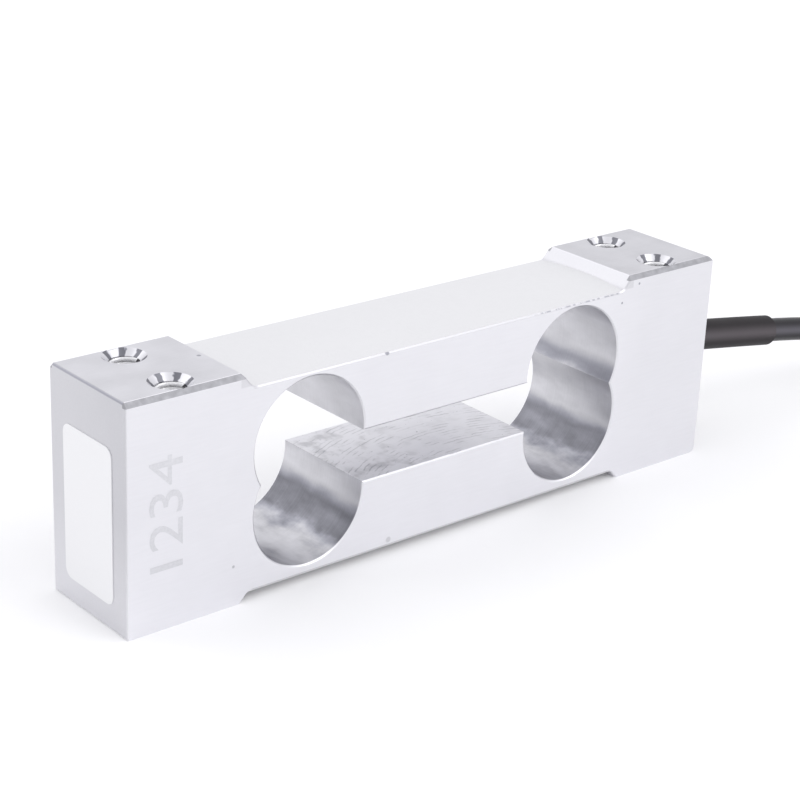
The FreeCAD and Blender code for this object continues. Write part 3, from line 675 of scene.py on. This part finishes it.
    def edge_tone(self, graph: Graph) -> Sock:
        """How light the broken edges are: painted shade along them, and painted shadow in dashes
        along the beam's top.

        Args:
            graph: The tree to write it in.

        Returns:
            A factor for the finish's colour.
        """
        front = graph.y.falls(FRONT + 0.08, FRONT + 0.4)
        beam = front * abs(graph.x).falls(BEAM_END - 0.5, BEAM_END + 0.5)
        # Painted shade along the beam's upper and lower front edges and along the slot's front
        # edge.
        crest = graph.z.near(BEAM_TOP_EDGE, 0.15, 0.3) * beam
        low = graph.z.near(BEAM_LOW_EDGE, 0.12, 0.3) * beam
        sill = graph.z.near(SLOT_FLOOR - 0.1, 0.15, 0.32) * front
        sill = sill * abs(graph.x).falls(SLOT_HALF_LENGTH - 0.6, SLOT_HALF_LENGTH - 0.1)
        # Painted shadow: dark dashes along the beam's upper front edge, on its right part.
        dashes = graph.noise(1.4, graph.vector(graph.x, 0.0, 0.0), 2.0).rises(-0.06, 0.06)
        dash_span = graph.x.rises(20.0, 26.0) * graph.x.falls(46.0, 47.0)
        dash_shadow = graph.z.near(BEAM_TOP_EDGE, 0.06, 0.2) * front * dash_span * dashes
        # Painted shade on the steps up to the lands.
        slope = graph.z.rises(STEP_FOOT, STEP_FOOT + 0.3)
        slope = slope * graph.z.falls(BLOCK_HEIGHT - 0.2, BLOCK_HEIGHT - 0.05)
        slope = slope * abs(graph.x).falls(STEP_END, STEP_END + 0.3)
        # Painted shade along the load end's upper edge.
        end_edge = graph.x.falls(LOAD_END + 0.1, LOAD_END + 0.6)
        end_edge = end_edge * graph.z.rises(BLOCK_HEIGHT - 0.5, BLOCK_HEIGHT - 0.2)
        tone = (1.0 - crest * self.crest_dark) * (1.0 - sill * self.sill_dark)
        tone = tone * (1.0 - dash_shadow * self.dash_shadow_dark) * (1.0 - low * self.low_dark)
        return tone * (1.0 - slope * self.slope_dark) * (1.0 - end_edge * self.corner_dark)

    def tone(self, graph: Graph) -> Sock:
        """How light the metal is, place by place: its grain, tool marks and marks, with painted
        shade, highlights and reflections.

        Args:
            graph: The tree to write it in.

        Returns:
            A factor for the finish's colour.
        """
        tone = self.face_tone(graph) * self.wall_tone(graph)
        tone = tone * self.slot_tone(graph) * self.edge_tone(graph) * (1.0 - self.cones(graph))
        for mark in MARKS:
            tone = tone * (1.0 - graph.spot(mark.centre, mark.radius) * mark.depth)
        return tone

    def varying(self, graph: Graph) -> dict:
        """The shader's changing values.

        Args:
            graph: The tree to write them in.

        Returns:
            The sockets, by the shader's input names.
        """
        mottled = graph.noise(1.3, detail=5.0)
        side = BLOCK_HALF_WIDTH - 1.0
        strips = abs(graph.y).rises(side, side + 0.1)
        strips = strips * graph.z.rises(BLOCK_HEIGHT - 1.02, BLOCK_HEIGHT - 0.94)
        strips = strips * graph.z.falls(BLOCK_HEIGHT - 0.07, BLOCK_HEIGHT - 0.01)
        tone = self.tone(graph)
        # Where the tone is low, painted shade and reflections included, the colour turns cooler.
        cool = tuple(part * shade for part, shade in zip(self.colour, self.shade))
        metal = graph.tinted(graph.mix(tone.falls(0.45, 0.85), self.colour, cool), tone)
        strip = graph.tinted(self.strip, 1.0 + mottled * 0.7)
        brushed = graph.noise(0.35, graph.vector(graph.x * 0.1, graph.y, graph.z), 2.0)
        return {
            "Base Color": graph.mix(strips, metal, strip),
            "Roughness": self.roughness + brushed * 0.08 + strips * 0.15,
            "Normal": graph.bump(brushed * self.relief, 0.35),
        }


@dataclass(frozen=True)
class Extruded(Finish):
    """Extruded plastic: smooth, with a faint waviness and a painted sheen: its sides paler in
    colour.

    Attributes:
        sheen: How much paler the painted sheen makes the sides than the top.
    """

    sheen: float = 1.0

    def varying(self, graph: Graph) -> dict:
        """The shader's changing values.

        Args:
            graph: The tree to write them in.

        Returns:
            The sockets, by the shader's input names.
        """
        wave = graph.noise(6.0, detail=1.0)
        # Painted sheen: the colour is paler where the surface faces sideways.
        side = graph.upward().near(0.2, 0.0, 0.6)
        fine = graph.noise(0.8, detail=2.0)
        return {
            "Base Color": graph.tinted(self.colour, 1.0 + fine * self.mottle + side * self.sheen),
            "Roughness": self.roughness + wave * 0.08,
            "Normal": graph.bump((wave + fine * 0.3) * self.relief, 0.5),
        }


ALUMINIUM = MachinedAluminium(
    "machined_aluminium", (0.735, 0.732, 0.76), 0.38, metallic=1.0, relief=0.012
)
COAT = Finish("sealing_rubber", (0.72, 0.72, 0.73), 0.6, mottle=0.03, grain=1.2, relief=0.06)
LABEL = Finish("label_film", (0.82, 0.82, 0.83), 0.32, mottle=0.01, relief=0.002)
SLEEVE = Extruded(
    "sleeve_plastic", (0.028, 0.025, 0.027), 0.5, mottle=0.08, relief=0.02, shine=0.1, sheen=2.4
)
JACKET = Extruded(
    "jacket_plastic", (0.020, 0.019, 0.022), 0.3, mottle=0.1, relief=0.03, shine=0.16, sheen=4.0
)
RESIN = Finish("potting_resin", (0.03, 0.03, 0.033), 0.22, mottle=0.05, relief=0.01)
TIE = Finish("tie_nylon", (0.05, 0.05, 0.052), 0.38, mottle=0.03, relief=0.01)
FIGURES = Finish(
    "machined_aluminium", (0.69, 0.69, 0.715), 0.42, metallic=1.0, mottle=0.2, relief=0.01
)
THREAD = Finish(
    "machined_aluminium", (0.90, 0.90, 0.91), 0.25, metallic=0.4, mottle=0.15, relief=0.01
)
INSULATION = {
    "core_red": Finish("insulation_red", (0.62, 0.03, 0.025), 0.34),
    "core_black": Finish("insulation_black", (0.025, 0.025, 0.027), 0.34),
    "core_green": Finish("insulation_green", (0.03, 0.30, 0.09), 0.34),
    "core_white": Finish("insulation_white", (0.82, 0.82, 0.80), 0.34),
    "drain_wire": Finish("bare_drain", (0.78, 0.77, 0.76), 0.3, 1.0),
}
INNER = {
    "gauge_jumpers": Finish("tinned_ribbon", (0.76, 0.75, 0.74), 0.32, 1.0),
    "gauge": Finish("gauge_film", (0.75, 0.48, 0.10), 0.35),
    "terminal_board": Finish("solder_board", (0.62, 0.55, 0.28), 0.42),
    "trim_resistor": Finish("chip_resistor", (0.06, 0.06, 0.07), 0.4),
    "supply_leads": Finish("enamelled_leads", (0.42, 0.12, 0.03), 0.3),
    "cross_leads": Finish("enamelled_leads", (0.42, 0.12, 0.03), 0.3),
}


# ---------------------------------------------------------------- modelling helpers


def dress_node(piece: bpy.types.Object, material: bpy.types.Material) -> None:
    """Gives a CAD node its finish, in the slots that it already has.

    Args:
        piece: The node's object.
        material: The finish's material.
    """
    if not piece.material_slots:
        piece.data.materials.append(material)
    for holder in piece.material_slots:
        holder.material = material


def finished(
    piece: bpy.types.Object, name: str, material: bpy.types.Material
) -> bpy.types.Object:
    """Names a new piece, gives it its finish and lets it ride on the body.

    Args:
        piece: The new piece.
        name: Its name.
        material: The finish's material.

    Returns:
        The piece.
    """
    piece.name = name
    piece.data.name = name
    piece.data.materials.clear()
    piece.data.materials.append(material)
    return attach(piece, BODY)


def fresh(add: Callable, **options: object) -> bpy.types.Object:
    """Adds a primitive with nothing else selected.

    Args:
        add: The operator that adds it.
        options: The operator's options.

    Returns:
        The new object.
    """
    bpy.ops.object.select_all(action="DESELECT")
    add(**options)
    return bpy.context.object


def seat(piece: bpy.types.Object, place: Matrix) -> None:
    """Puts a piece's place into its mesh and leaves the object at the origin.

    Args:
        piece: The piece.
        place: Where the mesh goes.
    """
    piece.data.transform(place)
    piece.data.update()
    piece.matrix_world = Matrix.Identity(4)


# ---------------------------------------------------------------- threads and figures


class Land(Enum):
    """The two faces that a screw hole is tapped from."""

    TOP = 1
    BOTTOM = -1


@dataclass
class TappedThreads:
    """The thread ridges in the screw holes, which the CAD holes carry as plain walls.

    Attributes:
        pitch: The distance from ridge to ridge, in millimetres.
        root_radius: The radius of the thread's foot, in millimetres.
        crest_depth: How far a ridge stands into the hole, in millimetres.
        turns: How many times the thread winds round.
        first_ridge: How deep under the land it starts, in millimetres.
        steps: How many steps one turn has.
        ridge_width: How much of the pitch a ridge takes up.
        pieces: The threads, once they are built.
    """

    pitch: float = 1.0
    root_radius: float = 2.98
    crest_depth: float = 0.45
    turns: int = 11
    first_ridge: float = 1.74
    steps: int = 36
    ridge_width: float = 0.96
    pieces: list[bpy.types.Object] = field(default_factory=list)

    def ridge(self) -> bpy.types.Object:
        """One hole's thread, running down from the origin.

        Returns:
            The thread.
        """
        turned = (math.pi / 2, 0.0, 0.0)
        piece = fresh(
            bpy.ops.mesh.primitive_circle_add,
            vertices=4,
            radius=self.pitch / 2 * MM,
            fill_type="NOTHING",
            rotation=turned,
        )
        bpy.ops.object.transform_apply(rotation=True)
        bpy.ops.object.mode_set(mode="EDIT")
        bpy.ops.mesh.select_all(action="DESELECT")
        bpy.ops.object.mode_set(mode="OBJECT")
        for vertex in piece.data.vertices:
            vertex.select = vertex.co.x > self.pitch / 4 * MM
        bpy.ops.object.mode_set(mode="EDIT")
        bpy.ops.mesh.delete(type="VERT")
        bpy.ops.mesh.select_all(action="SELECT")
        depth = self.crest_depth / (self.pitch / 2)
        bpy.ops.transform.resize(value=(depth, 1.0, self.ridge_width))
        bpy.ops.object.mode_set(mode="OBJECT")
        piece.data.transform(Matrix.Translation((self.root_radius * MM, 0.0, 0.0)))
        wind = piece.modifiers.new("wind", "SCREW")
        wind.axis = "Z"
        wind.screw_offset = -self.pitch * MM
        wind.iterations = self.turns
        wind.steps = wind.render_steps = self.steps
        bpy.ops.object.modifier_apply(modifier=wind.name)
        return piece

    def build(self) -> None:
        """Models one thread and copies it into every hole, from both lands."""
        pattern = self.ridge()
        for land in Land:
            for x in (-SCREW_X, SCREW_X):
                for y in (-SCREW_Y, SCREW_Y):
                    copy = pattern.copy()
                    copy.data = pattern.data.copy()
                    bpy.context.collection.objects.link(copy)
                    height = BLOCK_HEIGHT if land is Land.TOP else 0.0
                    height -= land.value * self.first_ridge
                    turn = Matrix.Rotation(0.0 if land is Land.TOP else math.pi, 4, "X")
                    seat(copy, Matrix.Translation((x * MM, y * MM, height * MM)) @ turn)
                    self.pieces.append(copy)
        bpy.data.objects.remove(pattern, do_unlink=True)

    def dress(self, material: bpy.types.Material) -> None:
        """Finishes the threads.

        Args:
            material: The threads' material.
        """
        for index, piece in enumerate(self.pieces):
            finished(piece, f"screw_thread_{index + 1}", material)


@dataclass
class EngravedFigures:
    """Plain figures cut faintly into the front face, read from bottom to top.

    Attributes:
        text: The figures.
        left: Their left edge along the block, in millimetres.
        right: Their right edge along the block, in millimetres.
        low: The height of their lower end, in millimetres.
        high: The height of their upper end, in millimetres.
        proud: How far they lie in front of the face, in millimetres.
        piece: The figures' mesh, once it is built.
    """

    text: str = "1234"
    left: float = -70.2
    right: float = -63.0
    low: float = 12.0
    high: float = 34.4
    proud: float = 0.015
    piece: bpy.types.Object | None = None

    def build(self) -> None:
        """Writes the figures flat, then fits them to their place on the face."""
        piece = fresh(bpy.ops.object.text_add)
        piece.data.body = self.text
        piece.data.resolution_u = 3
        bpy.ops.object.convert(target="MESH")
        corners = [vertex.co.copy() for vertex in piece.data.vertices]
        low = Vector(map(min, zip(*corners)))
        high = Vector(map(max, zip(*corners)))
        across = (self.right - self.left) * MM / (high.y - low.y)
        along = (self.high - self.low) * MM / (high.x - low.x)
        upright = Matrix(((0, -across, 0, 0), (0, 0, -1, 0), (along, 0, 0, 0), (0, 0, 0, 1)))
        corner = Vector((self.right, -BLOCK_HALF_WIDTH - self.proud, self.low)) * MM
        shift = corner - Vector((-across * low.y, 0.0, along * low.x))
        seat(piece, Matrix.Translation(shift) @ upright)
        self.piece = piece

    def dress(self, material: bpy.types.Material) -> None:
        """Finishes the figures.

        Args:
            material: The figures' material.
        """
        finished(self.piece, "engraved_figures", material)


# ---------------------------------------------------------------- the cable


class Column(Enum):
    """The hank's two columns of turns, by the radius of their folds."""

    OUTER = 22.0
    INNER = 16.5


# The cable's way from inside the block down to the hank, and its end inside the hank.
ROUTE = (
    (63.0, 0.0, 23.0),
    (78.0, 0.0, 23.0),
    (106.0, 0.0, 18.6),
    (126.0, -0.7, 15.5),
    (142.0, -3.6, 12.5),
    (156.0, -7.6, 9.2),
    (168.0, -11.3, 5.7),
    (179.0, -13.5, 3.6),
    (189.0, -14.0, 2.75),
    (197.0, -14.0, 2.75),
)
TAIL = (
    (214.0, -8.1, 2.75),
    (221.0, -6.0, 2.8),
    (229.3, -3.1, 3.3),
    (239.0, -0.8, 3.75),
)


@dataclass
class Cable:
    """The whole cable: its run from the block, its hank of tied turns and its free end.

    Attributes:
        radius: The jacket's radius, in millimetres.
        length: The cable's length as declared, in metres. It is not used.
        near_x: The middle of the folds next to the block, in millimetres.
        far_x: The middle of the far folds, in millimetres.
        middle_y: The hank's middle line, in millimetres.
        pinch: How far the tie draws each side in, in millimetres.
        laps: How many turns the hank has.
        fold_points: The control points of one fold.
        waist_points: The control points of one side.
        climb: Where in a lap the outer column's rise starts, and how long it takes.
        cross: Where in its lap the change of column starts, and how long it takes.
        drop: Where in a lap the inner column's fall starts, and how long it takes.
        piece: The cable, once it is built.
    """

    radius: float = 2.75
    length: float = 1.25
    near_x: float = 213.0
    far_x: float = 255.0
    middle_y: float = 8.0
    pinch: float = 3.1
    laps: int = 5
    fold_points: int = 14
    waist_points: int = 6
    climb: tuple[float, float] = (0.665, 0.24)
    cross: tuple[float, float] = (0.49, 0.19)
    drop: tuple[float, float] = (0.19, 0.29)
    piece: bpy.types.Object | None = None

    def lap(self) -> list[tuple[str, float, float, float]]:
        """The stations of one lap, counter-clockwise from the near fold's low side.

        Returns:
            For each station: which arc it is on, its angle, half the angle to the next
            station, and how far round the lap it is.
        """
        half = (self.far_x - self.near_x) / 2
        tilt = math.asin(half / self.both())
        fold, waist = math.pi + 2 * tilt, 2 * tilt
        step, short = fold / self.fold_points, waist / self.waist_points
        near = math.pi / 2 - tilt
        far = -math.pi / 2 - tilt
        folds = [(index + 0.5) * step for index in range(self.fold_points)]
        waists = [(index + 0.5) * short for index in range(self.waist_points)]
        stations = [("near", near + folds[-1], step / 2)]
        stations += [("low", math.pi / 2 + tilt - angle, short / 2) for angle in waists]
        stations += [("far", far + angle, step / 2) for angle in folds]
        stations += [("high", tilt - math.pi / 2 - angle, short / 2) for angle in waists]
        stations += [("near", near + angle, step / 2) for angle in folds[:-1]]
        return [(*station, index / len(stations)) for index, station in enumerate(stations)]

    def both(self) -> float:
        """A fold's radius and a side's, together.

        Returns:
            The sum, in millimetres.
        """
        half = (self.far_x - self.near_x) / 2
        return (half ** 2 + self.pinch ** 2) / (2 * self.pinch)

    def station(self, arc: str, angle: float, half_step: float, fold: float, z: float) -> Vector:
        """A control point outside its arc, so that the curve lies on the arc itself.

        Args:
            arc: Which arc the point is on.
            angle: Its angle on that arc.
            half_step: Half the angle between this arc's points.
            fold: The fold radius of the column.
            z: Its height.

        Returns:
            The point, in millimetres.
        """
        side = self.both() - self.pinch
        centres = {
            "near": (self.near_x, self.middle_y),
            "far": (self.far_x, self.middle_y),
            "low": ((self.near_x + self.far_x) / 2, self.middle_y - side),
            "high": ((self.near_x + self.far_x) / 2, self.middle_y + side),
        }
        radius = fold if arc in ("near", "far") else self.both() - fold
        radius /= math.cos(half_step)
        x, y = centres[arc]
        return Vector((x + radius * math.cos(angle), y + radius * math.sin(angle), z))

    def height(self, lap: int, share: float) -> float:
        """The cable's height: three layers up the outer column, then down the inner one.

        Args:
            lap: The lap's number, from 0.
            share: How far round the lap it is.

        Returns:
            The height of the cable's middle, in millimetres.
        """
        layer = 2 * self.radius
        up, down = eased(share, *self.climb), eased(share, *self.drop)
        levels = (up, 1.0 + up, 2.0, 2.0 - down, 1.0 - down)
        return self.radius + layer * levels[lap]

    def fold(self, lap: int, share: float) -> float:
        """The fold radius: outer laps first, then across to the inner column.

        Args:
            lap: The lap's number, from 0.
            share: How far round the lap it is.

        Returns:
            The radius, in millimetres.
        """
        across = eased(share, *self.cross) if lap == 2 else float(lap > 2)
        return Column.OUTER.value + (Column.INNER.value - Column.OUTER.value) * across

    def points(self) -> list[Vector]:
        """The cable's control points, from the block to its free end.

        Returns:
            The points, in millimetres.
        """
        points = [Vector(point) for point in ROUTE]
        for lap in range(self.laps):
            for arc, angle, half_step, share in self.lap():
                fold, z = self.fold(lap, share), self.height(lap, share)
                points.append(self.station(arc, angle, half_step, fold, z))
        return points + [Vector(point) for point in TAIL]

    def build(self) -> None:
        """Lays the cable as one smooth curve with the jacket's thickness."""
        points = self.points()
        curve = bpy.data.curves.new("cable", "CURVE")
        curve.dimensions = "3D"
        line = curve.splines.new("NURBS")
        line.points.add(len(points) - 1)
        for control, point in zip(line.points, points):
            control.co = (*(point * MM), 1.0)
        line.order_u = 3
        line.use_endpoint_u = True
        line.resolution_u = 4
        curve.bevel_depth = self.radius * MM
        curve.bevel_resolution = 6
        curve.use_fill_caps = True
        self.piece = bpy.data.objects.new("cable", curve)
        bpy.context.collection.objects.link(self.piece)

    def dress(self, material: bpy.types.Material) -> None:
        """Args:
            material: The jacket's material.
        """
        finished(self.piece, "cable", material)
        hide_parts("cable_run", "cable_hank")


def eased(share: float, start: float, width: float) -> float:
    """A smooth step from 0 to 1.

    Args:
        share: Where it is looked up.
        start: Where the step starts.
        width: How wide the step is.

    Returns:
        The step's value.
    """
    along = min(max((share - start) / width, 0.0), 1.0)
    return along * along * (3.0 - 2.0 * along)


# ---------------------------------------------------------------- the CAD nodes


@dataclass
class Frame:
    """The CAD nodes, each with its finish.

    Attributes:
        nodes: The nodes' objects, by name.
    """

    nodes: dict[str, bpy.types.Object]

    def finishes(self) -> Iterable[tuple[str, Finish]]:
        """Which finish each node takes.

        Yields:
            The node's name and its finish.
        """
        plain = {
            "spring_element": ALUMINIUM,
            "sealing_coat_upper": COAT,
            "sealing_coat_lower": COAT,
            "end_label": LABEL,
            "strain_relief_sleeve": SLEEVE,
            "entry_potting": RESIN,
            "cable_tie": TIE,
            "cable_run": JACKET,
            "cable_hank": JACKET,
            **INSULATION,
        }
        for name in sorted(self.nodes):
            inner = [finish for start, finish in INNER.items() if name.startswith(start)]
            yield name, inner[0] if inner else plain[name]

    def dress(self, materials: dict[Finish, bpy.types.Material]) -> None:
        """Gives every node its finish.

        Args:
            materials: The materials, by finish.
        """
        for name, finish in self.finishes():
            dress_node(self.nodes[name], materials[finish])


# ---------------------------------------------------------------- the studio


@dataclass
class Studio:
    """The camera, the pale floor and the soft light.

    Attributes:
        position: Where the camera stands, in millimetres.
        right: The direction to the view's right.
        down: The direction to the view's lower edge.
        ahead: The direction that the camera looks in.
        lens: Its focal length, in millimetres.
        floor_side: The floor's side, in metres.
        floor_tone: How pale the floor is, from 0 to 1.
        lamp_side: A lamp's side, in metres.
    """

    position: tuple[float, float, float] = (-249.526, -285.198, 178.986)
    right: tuple[float, float, float] = (0.76521750, -0.64249173, 0.04057780)
    down: tuple[float, float, float] = (-0.21299145, -0.31214989, -0.92584939)
    ahead: tuple[float, float, float] = (0.60751693, 0.69983343, -0.37570780)
    lens: float = 91.206
    floor_side: float = 12.0
    floor_tone: float = 0.97
    lamp_side: float = 0.9

    def camera(self) -> None:
        """Places the camera."""
        data = bpy.data.cameras.new("camera")
        data.lens = self.lens
        data.sensor_width = 36.0
        data.clip_start = 0.01
        made = bpy.data.objects.new("camera", data)
        bpy.context.collection.objects.link(made)
        axes = (Vector(self.right), -Vector(self.down), -Vector(self.ahead))
        turn = Matrix(axes).transposed().to_4x4()
        made.matrix_world = Matrix.Translation(Vector(self.position) * MM) @ turn
        bpy.context.scene.camera = made

    def floor(self) -> None:
        """Lays a wide pale floor."""
        piece = fresh(bpy.ops.mesh.primitive_plane_add, size=self.floor_side)
        piece.name = "floor"
        made = bpy.data.materials.new("floor_paint")
        graph = Graph(made)
        paint = (self.floor_tone, self.floor_tone, self.floor_tone, 1.0)
        graph.surface({"Base Color": paint, "Roughness": 0.9}, {})
        piece.data.materials.append(made)
        piece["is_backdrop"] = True

    def lamp(self, name: str, place: Sequence[float], power: float) -> None:
        """Hangs a soft square lamp that faces the object.

        Args:
            name: The lamp's name.
            place: Where it hangs, in metres.
            power: Its power, in watts.
        """
        data = bpy.data.lights.new(name, "AREA")
        data.size = self.lamp_side
        data.energy = power
        made = bpy.data.objects.new(name, data)
        bpy.context.collection.objects.link(made)
        made.location = place
        made.rotation_euler = (-Vector(place)).to_track_quat("-Z", "Y").to_euler()
        made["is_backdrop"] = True

    def light(self) -> None:
        """Sets an even white surround and two soft lamps."""
        world = bpy.data.worlds.new("surround")
        world.use_nodes = True
        background = world.node_tree.nodes["Background"]
        background.inputs["Color"].default_value = (0.97, 0.97, 1.0, 1.0)
        background.inputs["Strength"].default_value = 1.0
        bpy.context.scene.world = world
        self.lamp("key", (0.45, -0.75, 0.85), 3.0)
        self.lamp("rim", (-0.5, 0.7, 0.8), 1.5)

    def build(self) -> None:
        """Sets up everything but the camera."""
        self.floor()
        self.light()
        bpy.context.scene.view_settings.view_transform = "Standard"


# ---------------------------------------------------------------- main


def corners() -> list[list[float]]:
    """The shown object's box.

    Returns:
        Its lowest and highest corner.
    """
    low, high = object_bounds()
    return [list(low), list(high)]


def main() -> dict:
    """Builds the scene in order.

    Returns:
        The shown object's box before and after dressing.
    """
    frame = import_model()
    sizes = {"cad": corners()}
    studio = Studio()
    studio.camera()
    LOG.info("camera placed")
    cable = Cable()
    cable.build()
    LOG.info("cable laid")
    finishes = {
        ALUMINIUM, COAT, LABEL, SLEEVE, JACKET, RESIN, TIE, FIGURES, THREAD,
        *INSULATION.values(), *INNER.values(),
    }
    ordered = sorted(finishes, key=lambda finish: (finish.slot, finish.colour))
    materials = {finish: finish.material() for finish in ordered}
    LOG.info("%d finishes mixed", len(materials))
    Frame(frame["nodes"]).dress(materials)
    cable.dress(materials[JACKET])
    LOG.info("nodes and cable dressed")
    threads = TappedThreads()
    threads.build()
    threads.dress(materials[THREAD])
    LOG.info("%d threads cut", len(threads.pieces))
    figures = EngravedFigures()
    figures.build()
    figures.dress(materials[FIGURES])
    LOG.info("figures engraved")
    studio.build()
    LOG.info("studio set")
    sizes["dressed"] = corners()
    return sizes


if __name__ == "__main__":
    logging.basicConfig(level=logging.INFO, format="%(name)s: %(message)s")
    main()
